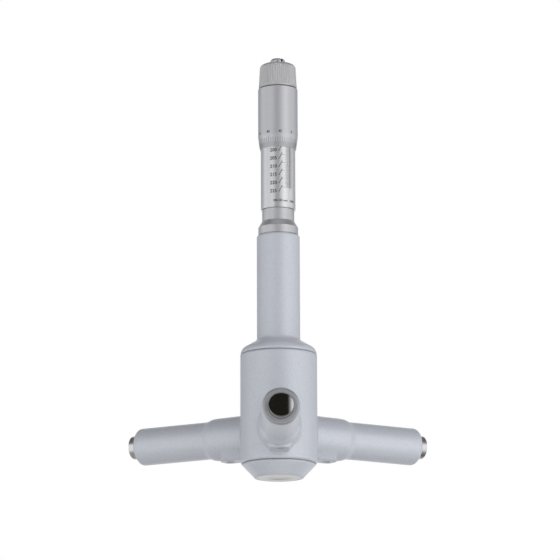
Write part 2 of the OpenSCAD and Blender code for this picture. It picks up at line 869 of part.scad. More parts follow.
// Ribs inside the ratchet cap, or the notches for them with some room
module crown_ribs(room) {
    rib_r = cap_bore_d / 2 - rib_t - room;
    for (angle = [0, 120, 240])
        rotate([0, 0, angle])
            translate([rib_r, -rib_w / 2 - room, crown_z0 - room])
                cube([2 * rib_t + room, rib_w + 2 * room, cap_ceiling - crown_z0 + 2 * room]);
}

// Fluted cap that the fingers turn
module ratchet_cap() {
    low_r = cap_low_d / 2;
    top_r = cap_top_d / 2;
    color(chrome) {
        difference() {
            rotate_extrude()
                difference() {
                    union() {
                        polygon([
                            [0, cap_z0], [low_r, cap_z0], [top_r, cap_z1 - cap_round],
                            [top_r - cap_round, cap_z1], [0, cap_z1]
                        ]);
                        translate([top_r - cap_round, cap_z1 - cap_round])
                            circle(cap_round);
                    }
                    band(0, cap_bore_d / 2, cap_z0 - over, cap_ceiling);
                    band(0, shoulder_d / 2 + slide_fit, cap_ceiling - over, cap_z1 + over);
                }
            flute_cuts();
        }
        crown_ribs(0);
    }
}

// Upper ratchet crown, turned by the ribs of the cap and pressed down by its spring
module ratchet_crown() {
    color(steel)
        difference() {
            translate([0, 0, crown_z0])
                difference() {
                    cylinder(d = crown_d, h = crown_z1 - crown_z0);
                    translate([0, 0, -over])
                        cylinder(d = column_d + 2 * crown_room, h = crown_z1 - crown_z0 + 2 * over);
                    rotate([180, 0, 0])
                        tooth_cuts();
                }
            crown_ribs(crown_room);
        }
}

// Spring between the upper crown and the cap
module ratchet_spring() {
    color(spring_steel)
        coil_spring(ratchet_coil_d, ratchet_wire_d, ratchet_turns, crown_z1, cap_ceiling);
}

head_body();
bottom_cap();
arm(front);  // arm_front
arm(right);  // arm_right
arm(left);  // arm_left
guide_screw(front);  // guide_screw_front
guide_screw(right);  // guide_screw_right
guide_screw(left);  // guide_screw_left
anvil(front);  // anvil_front
anvil(right);  // anvil_right
anvil(left);  // anvil_left
anvil_spring(front);  // anvil_spring_front
anvil_spring(right);  // anvil_spring_right
anvil_spring(left);  // anvil_spring_left
handle_tube();
rod_bush();
rod_spring();
measuring_cone();
push_rod();
thrust_ball();
stem();
sleeve();
adjusting_nut();
thimble();
spindle();
drive_crown();
ratchet_screw();
ratchet_cap();
ratchet_crown();
ratchet_spring();
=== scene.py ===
# %% [markdown]
# # A three-point inside micrometer
#
# This lesson dresses a bore-measuring micrometer: a painted head with three arms, a long painted handle,
# and a satin-chromed micrometer head with a graduated sleeve, a thimble and a fluted ratchet. The solids
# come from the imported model, already in place and in metres. Everything below gives them finishes, adds
# the engraved scales and the wound springs, and sets up a small photo studio.

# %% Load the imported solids
import math

import bpy
from mathutils import Matrix, Vector


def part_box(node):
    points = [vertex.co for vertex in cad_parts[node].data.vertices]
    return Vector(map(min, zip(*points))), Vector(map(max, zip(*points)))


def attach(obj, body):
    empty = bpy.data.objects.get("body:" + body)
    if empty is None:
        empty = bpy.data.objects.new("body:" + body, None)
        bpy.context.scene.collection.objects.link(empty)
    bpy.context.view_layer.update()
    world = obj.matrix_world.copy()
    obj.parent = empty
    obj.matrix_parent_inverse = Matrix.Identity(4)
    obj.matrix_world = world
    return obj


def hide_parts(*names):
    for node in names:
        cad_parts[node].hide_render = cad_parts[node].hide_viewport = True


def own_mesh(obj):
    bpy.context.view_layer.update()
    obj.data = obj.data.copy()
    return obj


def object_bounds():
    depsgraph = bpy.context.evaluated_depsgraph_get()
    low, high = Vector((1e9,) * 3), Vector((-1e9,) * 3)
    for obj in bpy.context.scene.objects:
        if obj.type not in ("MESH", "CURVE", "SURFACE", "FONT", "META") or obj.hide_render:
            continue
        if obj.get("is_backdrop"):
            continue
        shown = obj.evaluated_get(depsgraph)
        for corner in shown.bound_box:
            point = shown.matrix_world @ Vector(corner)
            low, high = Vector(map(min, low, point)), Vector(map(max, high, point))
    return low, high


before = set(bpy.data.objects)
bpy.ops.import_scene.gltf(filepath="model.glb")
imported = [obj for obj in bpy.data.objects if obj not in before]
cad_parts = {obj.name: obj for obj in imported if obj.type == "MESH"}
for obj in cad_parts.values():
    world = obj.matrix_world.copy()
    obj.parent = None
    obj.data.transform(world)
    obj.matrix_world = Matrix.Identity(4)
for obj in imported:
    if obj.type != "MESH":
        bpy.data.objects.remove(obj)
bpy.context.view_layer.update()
MM = 0.001
scene = bpy.context.scene

# %% [markdown]
# ## The camera
#
# The instrument was photographed from slightly below, with a long lens that hardly converges. A long lens
# far away is the right choice for a product like this, because a short one would spread the arms. The
# place, the tilt and the small roll were solved from the outline of the instrument.

# %% Place the camera
EYE = Vector((-26.8, -1938.8, -301.7)) * MM
PITCH_UP, YAW, ROLL = (math.radians(a) for a in (12.23, 0.82, -0.19))
look = Vector((math.sin(YAW) * math.cos(PITCH_UP), math.cos(YAW) * math.cos(PITCH_UP), math.sin(PITCH_UP)))
lens = bpy.data.cameras.new("long_lens")
lens.lens = 215.2
lens.sensor_width = 36
lens.clip_end = 20
camera = bpy.data.objects.new("camera", lens)
scene.collection.objects.link(camera)
aim = look.to_track_quat("-Z", "Y").to_matrix().to_4x4()
camera.matrix_world = Matrix.Translation(EYE) @ aim @ Matrix.Rotation(ROLL, 4, "Z")
scene.camera = camera
print("camera", round(EYE.length, 2), "m from the foot")

# %% [markdown]
# ## Nodes and colours
#
# Every finish below is a small graph of nodes. One helper adds a node: its properties come as keywords,
# `values` sets sockets, and `links` feeds sockets from other nodes. Colours are written as sRGB hex, the
# way a paint card gives them, and one function turns them into the linear numbers that a shader needs. New
# shapes are worked out as points and faces, and the last helper puts them in the scene.


# %% Helpers for graphs and shapes
def linear(hex_colour):
    """sRGB hex to a linear RGBA colour."""
    parts = [int(hex_colour[i : i + 2], 16) / 255 for i in (1, 3, 5)]
    return tuple(c / 12.92 if c <= 0.04045 else ((c + 0.055) / 1.055) ** 2.4 for c in parts) + (1.0,)


def add(tree, kind, values=None, links=None, **properties):
    """Adds one node to a graph, with its properties, socket values and incoming links."""
    made = tree.nodes.new(kind)
    for name, value in properties.items():
        setattr(made, name, value)
    for socket, value in (values or {}).items():
        made.inputs[socket].default_value = value
    for socket, source in (links or {}).items():
        tree.links.new(source, made.inputs[socket])
    return made


def empty_graph(owner):
    """Turns on nodes for a material or a world and clears the graph."""
    owner.use_nodes = True
    owner.node_tree.nodes.clear()
    return owner.node_tree


def shape(name, points, faces, material):
    """Puts a mesh of points in metres and their faces in the scene, with one material."""
    mesh = bpy.data.meshes.new(name)
    mesh.from_pydata(points, [], faces)
    mesh.materials.append(material)
    piece = bpy.data.objects.new(name, mesh)
    scene.collection.objects.link(piece)
    return piece


print("mid grey #808080 is", round(linear("#808080")[0], 3), "in linear light")

# %% [markdown]
# ## The studio
#
# A white sweep surrounds the instrument. The camera, and reflections in metal, see it as plain white, while
# the light that it throws on the instrument is set apart, so that the paint renders as it is written. Two
# large softboxes stand left and right of the camera, a low one lights the foot, and two smaller ones light
# the top and the back. The camera looks from below floor level, so the floor shows its upper side only, and
# light from below passes it. It catches the soft shadow of the top light alone: the others stand so near
# the floor that they would draw streaks on it, and light linking keeps them off. A faint glow keeps it
# pale, and it fades out with distance, so that no horizon shows.

# %% World
scene.view_settings.view_transform = "Standard"
sweep = bpy.data.worlds.new("white_sweep")
scene.world = sweep
tree = empty_graph(sweep)
path = add(tree, "ShaderNodeLightPath")
mirrored = add(
    tree, "ShaderNodeMath", operation="MAXIMUM",
    links={0: path.outputs["Is Glossy Ray"], 1: path.outputs["Is Transmission Ray"]},
)
seen = add(
    tree, "ShaderNodeMath", operation="MAXIMUM",
    links={0: path.outputs["Is Camera Ray"], 1: mirrored.outputs[0]},
)
thrown = add(tree, "ShaderNodeBackground", values={"Color": linear("#F4F6FA"), "Strength": 0.42})
white = add(tree, "ShaderNodeBackground", values={"Color": (1, 1, 1, 1), "Strength": 1.0})
both = add(
    tree, "ShaderNodeMixShader",
    links={0: seen.outputs[0], 1: thrown.outputs[0], 2: white.outputs[0]},
)
add(tree, "ShaderNodeOutputWorld", links={"Surface": both.outputs[0]})
print("world", sweep.name)

# %% Floor
FLOOR_HALF = 3.0
FLOOR_DROP = 0.02 * MM
FADE_FROM, FADE_TO = 0.3, 2.4
PAPER = linear("#E9E9E7")
floor_paper = bpy.data.materials.new("studio_paper")
tree = empty_graph(floor_paper)
side = add(tree, "ShaderNodeNewGeometry")
paper = add(tree, "ShaderNodeBsdfDiffuse", values={"Color": PAPER})
glow = add(tree, "ShaderNodeEmission", values={"Color": PAPER, "Strength": 0.55})
lit = add(tree, "ShaderNodeAddShader", links={0: paper.outputs[0], 1: glow.outputs[0]})
clear = add(tree, "ShaderNodeBsdfTransparent")
place = add(tree, "ShaderNodeTexCoord").outputs["Object"]
distance = add(tree, "ShaderNodeVectorMath", links={0: place}, operation="LENGTH").outputs["Value"]
fade = add(
    tree, "ShaderNodeMapRange", values={"From Min": FADE_FROM, "From Max": FADE_TO},
    links={"Value": distance}, interpolation_type="SMOOTHSTEP",
)
unseen = add(
    tree, "ShaderNodeMath", links={0: side.outputs["Backfacing"], 1: fade.outputs[0]}, operation="MAXIMUM"
)
one_sided = add(
    tree, "ShaderNodeMixShader",
    links={0: unseen.outputs[0], 1: lit.outputs[0], 2: clear.outputs[0]},
)
add(tree, "ShaderNodeOutputMaterial", links={"Surface": one_sided.outputs[0]})
corners = [(FLOOR_HALF * x, FLOOR_HALF * y, -FLOOR_DROP) for x, y in ((-1, -1), (1, -1), (1, 1), (-1, 1))]
floor = shape("studio_floor", corners, [(0, 1, 2, 3)], floor_paper)
for kind in ("diffuse", "glossy", "shadow"):
    setattr(floor, "visible_" + kind, False)
floor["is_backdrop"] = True
off_floor = bpy.data.collections.new("lit_apart_from_floor")
off_floor.objects.link(floor)
off_floor.collection_objects[0].light_linking.link_state = "EXCLUDE"
print("floor", 2 * FLOOR_HALF, "m wide")


# %% Softboxes
MIDDLE = Vector((0, 0, 0.12))


def bearing_point(bearing, distance, height):
    """A point round the instrument: bearing 0 is the camera's side, positive to its right."""
    a = math.radians(bearing)
    return Vector((distance * math.sin(a), -distance * math.cos(a), height))


def softbox(name, bearing, distance, height, width, tall, watts, lights_floor=False):
    """A rectangular lamp that faces the middle of the instrument."""
    lamp = bpy.data.lights.new(name, "AREA")
    lamp.shape = "RECTANGLE"
    lamp.size, lamp.size_y = width, tall
    lamp.energy = watts
    box = bpy.data.objects.new(name, lamp)
    scene.collection.objects.link(box)
    spot = bearing_point(bearing, distance, height)
    facing = (MIDDLE - spot).to_track_quat("-Z", "Y").to_matrix().to_4x4()
    box.matrix_world = Matrix.Translation(spot) @ facing
    box.visible_camera = False
    box.visible_glossy = False
    if not lights_floor:
        box.light_linking.receiver_collection = off_floor


softbox("softbox_right", 52, 1.3, 0.1, 1.2, 1.6, 17)
softbox("softbox_left", -62, 1.3, 0.1, 1.4, 1.6, 11)
softbox("softbox_low", 0, 0.6, -1.0, 1.4, 1.0, 5.3)
softbox("softbox_back", 180, 1.5, 0.3, 1.4, 1.2, 13)
softbox("softbox_top", 160, 1.4, 1.6, 1.2, 1.2, 5, lights_floor=True)
print("five softboxes")

# %% [markdown]
# ## Cards for the metal
#
# Polished metal has no colour of its own: it shows the room. In a white sweep it would be a flat pale
# shape, so photographers hang cards round it. A black one behind the camera draws the soft dark band down
# the middle of the thimble and blackens the front contact, and grey strips beside it soften its edge. A
# dark hood above, drawn lower at both sides, gives the dark band on the upper half of the other contacts, a
# card below the dark one on their lower half, and a bright card at the right the highlight down the sleeve.
# The cards only act on reflections, so the softboxes can be left out of them.


# %% Hang the cards
def card(name, bearings, low, high, grey, strength=1.0):
    """A curved card between two (distance, height) edges that only reflections can see."""
    felt = bpy.data.materials.new(name)
    felt.cycles.emission_sampling = "NONE"
    tree = empty_graph(felt)
    tone = add(tree, "ShaderNodeEmission", values={"Color": linear(grey), "Strength": strength})
    add(tree, "ShaderNodeOutputMaterial", links={"Surface": tone.outputs[0]})
    steps = 36
    stops = [bearings[0] + (bearings[1] - bearings[0]) * i / steps for i in range(steps + 1)]
    points = [bearing_point(b, *edge) for b in stops for edge in (low, high)]
    faces = [(2 * i, 2 * i + 2, 2 * i + 3, 2 * i + 1) for i in range(steps)]
    piece = shape(name, points, faces, felt)
    for kind in ("camera", "diffuse", "transmission", "shadow", "volume_scatter"):
        setattr(piece, "visible_" + kind, False)
    piece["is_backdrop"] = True


ROOM = 2.4
DARK_LOW, DARK_HIGH = (ROOM, 0.0), (ROOM, 1.15)
STRIP = 1.5
card("card_behind_camera", (-24, 11.5), DARK_LOW, DARK_HIGH, "#26241F")
for bearing, grey in ((11.5, "#595754"), (13, "#8C8A88"), (14.5, "#C2C1C0"), (16, "#EAEAEA")):
    card("card_soft_edge", (bearing, bearing + STRIP), DARK_LOW, DARK_HIGH, grey)
card("card_bright_right", (32, 62), (ROOM, -0.6), (ROOM, 1.6), "#FFFFFF", 1.4)
card("card_far_right", (110, 165), (ROOM, -0.1), (ROOM, 2.2), "#B8BABE")
card("card_far_left", (-165, -110), (ROOM, -0.1), (ROOM, 2.2), "#B0B2B6")
card("card_hood", (-180, 180), (ROOM, 2.2), (1.0, 2.4), "#5A5A5C")
card("card_ceiling", (-180, 180), (1.0, 2.4), (0.0, 2.4), "#D4D4D4")
card("card_shade_left", (-95, -55), (ROOM, 1.2), (ROOM, 2.2), "#5A5A5C")
card("card_shade_right", (64, 95), (ROOM, 1.2), (ROOM, 2.2), "#5A5A5C")
card("card_below", (-180, 180), (0.0, -1.6), (2.45, -1.6), "#A09F9A")
card("card_low_right", (80, 140), (0.95, -1.58), (1.4, -1.58), "#161618")
print("fourteen cards")

# %% [markdown]
# ## Silver-grey enamel
#
# The head, the arms and the handle are cast and turned parts under a silver-grey hammer enamel: a stoving
# lacquer with aluminium flake that pulls into tiny dimples as it dries. To the eye that gives a pale cool
# grey with fine darker specks, a soft sheen, and edges that the thick coat has rounded. Dimples 1 to 1.5 mm
# apart come from a Voronoi pattern, flake from a fine noise, and the soft edges from the bevel node.


# %% Helpers for finishes
def principled(name, **values):
    """A material with one principled shader; returns the material, its graph and the shader."""
    material = bpy.data.materials.new(name)
    tree = empty_graph(material)
    shader = add(tree, "ShaderNodeBsdfPrincipled")
    for socket, value in values.items():
        shader.inputs[socket.replace("_", " ")].default_value = value
    add(tree, "ShaderNodeOutputMaterial", links={"Surface": shader.outputs[0]})
    return material, tree, shader


def per_metre(size_mm):
    """Texture scale that repeats a pattern once in this many millimetres."""
    return 1 / (size_mm * MM)


def dress(material, *names):
    """Gives CAD nodes one finish."""
    for name in names:
        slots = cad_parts[name].data.materials
        slots.clear()
        slots.append(material)
    print(material.name, "on", ", ".join(names))


print("a pattern of 1 mm repeats", round(per_metre(1)), "times in a metre")


# %% Hammer enamel
def hammer_enamel(name):
    """Enamel graph; returns the material, its graph and the shader."""
    material, tree, shader = principled(
        name, Metallic=0.15, Coat_Weight=0.2, Coat_Roughness=0.25, Coat_IOR=1.5
    )
    place = add(tree, "ShaderNodeTexCoord").outputs["Object"]
    dimples = add(
        tree, "ShaderNodeTexVoronoi", values={"Scale": per_metre(1.3), "Randomness": 1.0},
        links={"Vector": place}, feature="F1",
    )
    flake = add(
        tree, "ShaderNodeTexNoise", values={"Scale": per_metre(0.7), "Detail": 2.0, "Roughness": 0.6},
        links={"Vector": place},
    )
    mottle = add(
        tree, "ShaderNodeMapRange", values={"From Max": 0.75}, links={"Value": dimples.outputs["Distance"]}
    )
    speck = add(
        tree, "ShaderNodeMath", values={1: 0.5}, links={0: flake.outputs[0], 2: mottle.outputs[0]},
        operation="MULTIPLY_ADD",
    )
    tint = add(tree, "ShaderNodeValToRGB", links={"Fac": speck.outputs[0]})
    for stop, position, tone in zip(tint.color_ramp.elements, (0.35, 0.75), ("#A5A8AF", "#B2B5BC")):
        stop.position, stop.color = position, linear(tone)
    tree.links.new(tint.outputs[0], shader.inputs["Base Color"])
    sheen = add(
        tree, "ShaderNodeMapRange", values={"To Min": 0.36, "To Max": 0.5},
        links={"Value": flake.outputs[0]},
    )
    tree.links.new(sheen.outputs[0], shader.inputs["Roughness"])
    soft_edges = add(tree, "ShaderNodeBevel", values={"Radius": 2.0 * MM}, samples=8)
    relief = add(
        tree, "ShaderNodeBump", values={"Strength": 0.2, "Distance": 0.05 * MM},
        links={"Height": speck.outputs[0], "Normal": soft_edges.outputs[0]},
    )
    tree.links.new(relief.outputs[0], shader.inputs["Normal"])
    return material, tree, shader


enamel = hammer_enamel("hammer_enamel")[0]
dress(enamel, "head_body", "handle_tube")

# %% [markdown]
# ## Enamel with bare ends
#
# The arms wear the same enamel, but their outer ends are faced after painting, so that the guide bore is
# square to a clean face. The outermost edge is bare machined steel, darker than the paint from the front,
# with painted shade in the corner where the contact slides out. The distance along an arm tells paint and
# steel apart, and ambient occlusion finds the corner where the shade is painted. The foot of the bottom cap
# is faced too, so that it stands flat. There the surface that looks straight down is the bare one, and the
# paint runs out round its edge.


# %% Bare steel on an enamelled part
MIX_A, MIX_B, MIXED = 6, 7, 2  # the colour sockets of a mix node


def painted_corner_shade(tree, colour, depth):
    """A colour, or the socket of one, darkened towards near black as painted shade in corners this deep in
    mm.
    """
    # Painted shade: where ambient occlusion finds a corner, the colour is mixed towards #201F1E.
    nook = add(tree, "ShaderNodeAmbientOcclusion", values={"Distance": depth * MM}, samples=8)
    unshaded = add(
        tree, "ShaderNodeMapRange", values={"From Min": 0.45, "From Max": 0.8},
        links={"Value": nook.outputs["AO"]},
    )
    mixed = add(
        tree, "ShaderNodeMix", values={MIX_A: linear("#201F1E")}, links={0: unshaded.outputs[0]},
        data_type="RGBA",
    )
    if isinstance(colour, tuple):
        mixed.inputs[MIX_B].default_value = colour
    else:
        tree.links.new(colour, mixed.inputs[MIX_B])
    return mixed.outputs[MIXED]


def bare_steel(tree, paint, mask, colour, roughness, shade_depth=0.0):
    """Shows faced steel of a colour where a mask is 1, with painted shade in corners of a depth in mm."""
    uneven = 0.07
    place = add(tree, "ShaderNodeTexCoord").outputs["Object"]
    # Facing leaves rings about 0.1 mm apart: drawn at 0.4 mm, so that they show as a fine grain.
    grain = add(
        tree, "ShaderNodeTexNoise", values={"Scale": per_metre(0.4), "Detail": 3.0, "Roughness": 0.6},
        links={"Vector": place},
    )
    dull = add(
        tree, "ShaderNodeMapRange", values={"To Min": roughness - uneven, "To Max": roughness + uneven},
        links={"Value": grain.outputs[0]},
    )
    steel = add(
        tree, "ShaderNodeBsdfPrincipled", values={"Metallic": 1.0, "Base Color": linear(colour)},
        links={"Roughness": dull.outputs[0]},
    )
    if shade_depth:
        tree.links.new(painted_corner_shade(tree, linear(colour), shade_depth), steel.inputs["Base Color"])
    faced = add(
        tree, "ShaderNodeMixShader", links={0: mask, 1: paint.outputs[0], 2: steel.outputs[0]}
    )
    tree.links.new(faced.outputs[0], tree.nodes["Material Output"].inputs["Surface"])


# %% Arms
ARMS = {"front": -90, "right": 30, "left": 150}


def arm_axis(arm):
    """The direction in which an arm points."""
    a = math.radians(ARMS[arm])
    return Vector((math.cos(a), math.sin(a), 0))


ARM_REACH = -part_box("arm_front")[0].y
BARE = 0.75 * MM
BLUR = 0.12 * MM
arm_enamel, tree, shader = hammer_enamel("hammer_enamel_bare_end")
place = add(tree, "ShaderNodeTexCoord").outputs["Object"]
along = [
    add(tree, "ShaderNodeVectorMath", values={1: arm_axis(arm)}, links={0: place}, operation="DOT_PRODUCT")
    for arm in ARMS
]
reach = along[0].outputs["Value"]
for other in along[1:]:
    reach = add(
        tree, "ShaderNodeMath", links={0: reach, 1: other.outputs["Value"]}, operation="MAXIMUM"
    ).outputs[0]
bare = add(
    tree, "ShaderNodeMapRange",
    values={"From Min": ARM_REACH - BARE - BLUR, "From Max": ARM_REACH - BARE + BLUR},
    links={"Value": reach},
)
# Painted shade darkens the faced ends in the corner round the contact.
bare_steel(tree, shader, bare.outputs[0], "#B0B2B6", 0.53, shade_depth=0.9)
dress(arm_enamel, "arm_front", "arm_right", "arm_left")

# %% Bottom cap
FOOT_R = 14.3 * MM
PAINT_ENDS, BARE_BEGINS = FOOT_R - 0.5 * MM, FOOT_R - 3.0 * MM
cap_enamel, tree, shader = hammer_enamel("hammer_enamel_faced_foot")
looks = add(tree, "ShaderNodeTexCoord").outputs["Normal"]
down = add(
    tree, "ShaderNodeVectorMath", values={1: (0, 0, -1)}, links={0: looks}, operation="DOT_PRODUCT"
)
level = add(
    tree, "ShaderNodeMapRange", values={"From Min": 0.9, "From Max": 0.96},
    links={"Value": down.outputs["Value"]},
)
place = add(tree, "ShaderNodeTexCoord").outputs["Object"]
flat = add(tree, "ShaderNodeVectorMath", values={1: (1, 1, 0)}, links={0: place}, operation="MULTIPLY")
spread = add(tree, "ShaderNodeVectorMath", links={0: flat.outputs[0]}, operation="LENGTH").outputs["Value"]
bare = add(
    tree, "ShaderNodeMapRange", values={"From Min": PAINT_ENDS, "From Max": BARE_BEGINS},
    links={"Value": spread, "To Max": level.outputs[0]},
)
bare_steel(tree, shader, bare.outputs[0], "#C9C9C9", 0.38)
dress(cap_enamel, "bottom_cap")

# %% [markdown]
# ## Soft corners
#
# The arms are pressed into their bosses before painting, and the enamel runs into the corner between them
# until it is a smooth hollow. Two solids that meet can't show that, because the bevel node rounds the edges
# of one object alone. So a thin strip is swept round each arm. It starts on the rounded crown of the boss
# and leaves it along its tangent, then runs out on the arm. The recess in the foot is turned with a
# round-nosed tool, which leaves a shallow dish and no sharp step, and another strip gives it that.


# %% Sweep a strip round an axis
def turned_strip(name, profile, centre, axis, material):
    """Sweeps (along, radius) points in mm round an axis, and fixes the strip to the frame."""
    around = 96
    side = axis.orthogonal().normalized()
    third = axis.cross(side)
    points, faces = [], []
    for k in range(around):
        a = 2 * math.pi * k / around
        away = side * math.cos(a) + third * math.sin(a)
        points.extend(centre + (axis * along + away * radius) * MM for along, radius in profile)
        here, there = k * len(profile), (k + 1) % around * len(profile)
        faces.extend((here + i, there + i, there + i + 1, here + i + 1) for i in range(len(profile) - 1))
    piece = shape(name, points, faces, material)
    piece.data.shade_smooth()
    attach(piece, "frame")
    print(name, len(faces), "faces")


# %% Corner between boss and arm
BOSS_REACH = -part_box("head_body")[0].y / MM
ARM_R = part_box("arm_front")[1].x / MM
ARM_HEIGHT = 26 * MM
CROWN_LENGTH, CROWN_R, CROWN_END_R = 5.0, 12.6, 11.4
CROWN_DROP = CROWN_R - CROWN_END_R
CROWN_ARC = (CROWN_LENGTH**2 + CROWN_DROP**2) / (2 * CROWN_DROP)
SKIN = 0.02


def crown(along):
    """Radius of the rounded end of a boss, and its slope, at a distance along the arm in mm."""
    run = along - (BOSS_REACH - CROWN_LENGTH)
    rise = math.sqrt(CROWN_ARC**2 - run**2)
    return CROWN_R - CROWN_ARC + rise, -run / rise


# The strip begins on the crown, leaves it before its end, and ends on the arm.
begin, leave, end = BOSS_REACH - 2.2, BOSS_REACH - 0.8, BOSS_REACH + 2.2
corner = [(a, crown(a)[0] + SKIN) for a in (begin + (leave - begin) * i / 4 for i in range(4))]
radius, slope = crown(leave)
bend = leave + (ARM_R - radius) / slope
CURVE_STEPS = 10
for i in range(CURVE_STEPS + 1):
    t = i / CURVE_STEPS
    start, middle, stop = (1 - t) ** 2, 2 * t * (1 - t), t**2
    along = start * leave + middle * bend + stop * end
    corner.append((along, start * radius + (middle + stop) * ARM_R + SKIN))
for arm in ARMS:
    turned_strip("paint_corner_" + arm, corner, Vector((0, 0, ARM_HEIGHT)), arm_axis(arm), enamel)

# %% Dish in the foot
RECESS_R, RECESS_DEPTH, DISH_FLOOR_R = 9.0, 0.6, 5.0
DISH_STEPS = 12
dish = []
for i in range(DISH_STEPS + 1):
    t = i / DISH_STEPS
    ease = t * t * (3 - 2 * t)
    dish.append(((RECESS_DEPTH - SKIN) * (1 - ease), DISH_FLOOR_R + (RECESS_R - DISH_FLOOR_R) * t))
turned_strip("recess_dish", dish, Vector((0, 0, 0)), Vector((0, 0, 1)), cap_enamel)

# %% [markdown]
# ## Satin chrome
#
# The sleeve, the thimble and the stem are turned from steel, and plated with a satin chrome that keeps
# glare off the scales. The lathe leaves rings finer than the eye can part. They spread a highlight along
# the axis and keep it narrow across, so light falls in upright bands. Anisotropy turned along Z gives those
# bands, and a one-dimensional noise along Z gives the rings.


# %% Turned satin chrome
def turned_chrome(name, light, dark, roughness):
    """Satin chrome with lathe rings round Z."""
    material, tree, shader = principled(name, Metallic=1.0, Anisotropic=0.3, Anisotropic_Rotation=0.25)
    place = add(tree, "ShaderNodeTexCoord").outputs["Object"]
    height = add(tree, "ShaderNodeSeparateXYZ", links={0: place}).outputs["Z"]
    # Real rings are about 0.05 mm apart: drawn ten times coarser, so that some of them show.
    rings = add(
        tree, "ShaderNodeTexNoise", values={"Scale": per_metre(0.5), "Detail": 3.0, "Roughness": 0.7},
        links={"W": height}, noise_dimensions="1D",
    )
    tint = add(tree, "ShaderNodeValToRGB", links={"Fac": rings.outputs[0]})
    for stop, position, tone in zip(tint.color_ramp.elements, (0.3, 0.7), (dark, light)):
        stop.position, stop.color = position, linear(tone)
    tree.links.new(tint.outputs[0], shader.inputs["Base Color"])
    uneven = 0.04
    satin = add(
        tree, "ShaderNodeMapRange", values={"To Min": roughness - uneven, "To Max": roughness + uneven},
        links={"Value": rings.outputs[0]},
    )
    tree.links.new(satin.outputs[0], shader.inputs["Roughness"])
    grooves = add(
        tree, "ShaderNodeBump", values={"Strength": 0.15, "Distance": 0.01 * MM},
        links={"Height": rings.outputs[0]},
    )
    tree.links.new(grooves.outputs[0], shader.inputs["Normal"])
    lathe = add(tree, "ShaderNodeTangent", direction_type="RADIAL", axis="Z")
    tree.links.new(lathe.outputs[0], shader.inputs["Tangent"])
    return material


chrome = turned_chrome("satin_chrome", "#D3D3D7", "#C9CACE", 0.5)
bright_chrome = turned_chrome("bright_satin_chrome", "#DFDFE2", "#D5D6D9", 0.4)
dress(chrome, "thimble", "stem")
dress(bright_chrome, "sleeve")

# %% [markdown]
# ## The ratchet cap
#
# The fluted cap that the fingers turn has the same plating over a blasted surface, so it is duller than the
# thimble and shows no rings. A fine noise in all directions stands for the blasting grit.

# %% Blasted chrome
blasted, tree, shader = principled("blasted_chrome", Metallic=1.0)
place = add(tree, "ShaderNodeTexCoord").outputs["Object"]
grit = add(
    tree, "ShaderNodeTexNoise", values={"Scale": per_metre(0.35), "Detail": 3.0, "Roughness": 0.6},
    links={"Vector": place},
)
tint = add(tree, "ShaderNodeValToRGB", links={"Fac": grit.outputs[0]})
for stop, position, tone in zip(tint.color_ramp.elements, (0.3, 0.7), ("#CCCCCE", "#D2D2D4")):
    stop.position, stop.color = position, linear(tone)
tree.links.new(tint.outputs[0], shader.inputs["Base Color"])
satin = add(
    tree, "ShaderNodeMapRange", values={"To Min": 0.5, "To Max": 0.62}, links={"Value": grit.outputs[0]}
)
tree.links.new(satin.outputs[0], shader.inputs["Roughness"])
pits = add(
    tree, "ShaderNodeBump", values={"Strength": 0.08, "Distance": 0.02 * MM},
    links={"Height": grit.outputs[0]},
)
tree.links.new(pits.outputs[0], shader.inputs["Normal"])
dress(blasted, "ratchet_cap")

# %% [markdown]
# ## Ground and lapped steel
#
# The contacts, the cone and the spindle are hardened tool steel, ground to size. Grinding leaves short fine
# scratches, and the measuring faces are lapped almost to a mirror, which is why the front contact looks
# nearly black: it mirrors the dark card. The same graph serves both, with another roughness and another
# depth of scratch. A contact is lapped where its surface looks straight away from the main axis, and the
# edge round that face is broken with a stone, which leaves it duller and darker.


# %% A lapped face with a stoned edge
def lap(tree, colour, dull, roughness):
    """Laps the face that looks away from the main axis; returns sockets of colour and roughness."""
    edge_from, edge_full, face_from, face_full = 0.5, 0.6, 0.82, 0.92
    place = add(tree, "ShaderNodeTexCoord").outputs["Object"]
    level = add(tree, "ShaderNodeVectorMath", values={1: (1, 1, 0)}, links={0: place}, operation="MULTIPLY")
    away = add(tree, "ShaderNodeVectorMath", links={0: level.outputs[0]}, operation="NORMALIZE")
    looks = add(tree, "ShaderNodeTexCoord").outputs["Normal"]
    square = add(
        tree, "ShaderNodeVectorMath", links={0: looks, 1: away.outputs[0]}, operation="DOT_PRODUCT"
    ).outputs["Value"]
    satin = add(
        tree, "ShaderNodeMapRange",
        values={"From Min": face_from, "From Max": face_full, "To Max": roughness},
        links={"Value": square, "To Min": dull},
    )
    stoned = add(tree, "ShaderNodeValToRGB", links={"Fac": square})
    stops = stoned.color_ramp.elements
    stops[0].position, stops[0].color = edge_from, (1, 1, 1, 1)
    stops[1].position, stops[1].color = face_full, linear("#EEEEF0")
    for position in (edge_full, face_from):
        stops.new(position).color = linear("#A8A7A5")
    duller = add(
        tree, "ShaderNodeMix", values={0: 1.0}, links={MIX_A: colour, MIX_B: stoned.outputs[0]},
        data_type="RGBA", blend_type="MULTIPLY",
    )
    return duller.outputs[MIXED], satin.outputs[0]


